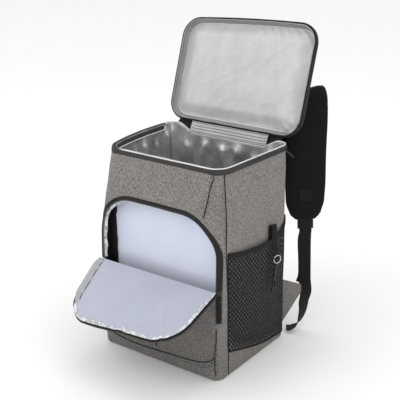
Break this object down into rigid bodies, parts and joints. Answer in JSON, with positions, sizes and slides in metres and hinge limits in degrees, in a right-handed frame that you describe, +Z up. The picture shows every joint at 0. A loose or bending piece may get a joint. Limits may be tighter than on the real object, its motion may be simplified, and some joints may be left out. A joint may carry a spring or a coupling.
{
  "type": "cooler backpack",
  "caption": "Soft insulated backpack standing open: silver-lined main compartment with a tilted-back lid, front pocket with its flap folded down, mesh side pockets and padded shoulder straps.",
  "frame": {"origin": "middle of the base, on the surface the bag stands on", "axes": "+Z up, -Y towards the front pocket, +X towards the bag's side with the bottle opener"},
  "size_m": [0.3538, 0.5095, 0.6395],
  "materials": {
    "melange": "heathered grey cloth",
    "silver": "soft metallic lining",
    "lavender": "pale smooth lining",
    "tape": "dark grey woven tape",
    "black": "black webbing and cloth",
    "mesh": "black mesh",
    "lock": "moulded",
    "steel": "bright",
    "black_metal": "gloss black"
  },
  "bodies": {
    "root": {"body_shell": "melange", "front_panel": "melange", "pocket_flap": "melange", "lid_shell": "melange", "wing_left": "melange", "wing_right": "melange", "main_lining": "silver", "lid_lining": "silver", "lid_binding": "silver", "rim_binding": "silver", "hinge_strip": "silver", "flap_lining": "lavender", "pocket_back_wall": "lavender", "rim_band": "tape", "opening_zipper": "tape", "zipper_end": "tape", "flap_zipper": "black", "lid_band": "black", "pocket_side_left": "black", "pocket_side_right": "black", "mesh_hem_left": "black", "mesh_hem_right": "black", "mesh_pocket_left": "mesh", "mesh_pocket_right": "mesh", "opener_loop": "black", "shoulder_pad_left": "black", "shoulder_pad_right": "black", "strap_webbing_left": "black", "strap_webbing_right": "black", "webbing_tail_left": "black", "webbing_tail_right": "black", "pocket_pull": "black", "lid_pull_right": "black", "ladder_lock_left": "lock", "ladder_lock_right": "lock", "split_ring": "steel", "bottle_opener": "black_metal", "pocket_slider": "black_metal", "lid_slider_left": "black_metal", "lid_slider_right": "black_metal"}
  },
  "joints": []
}
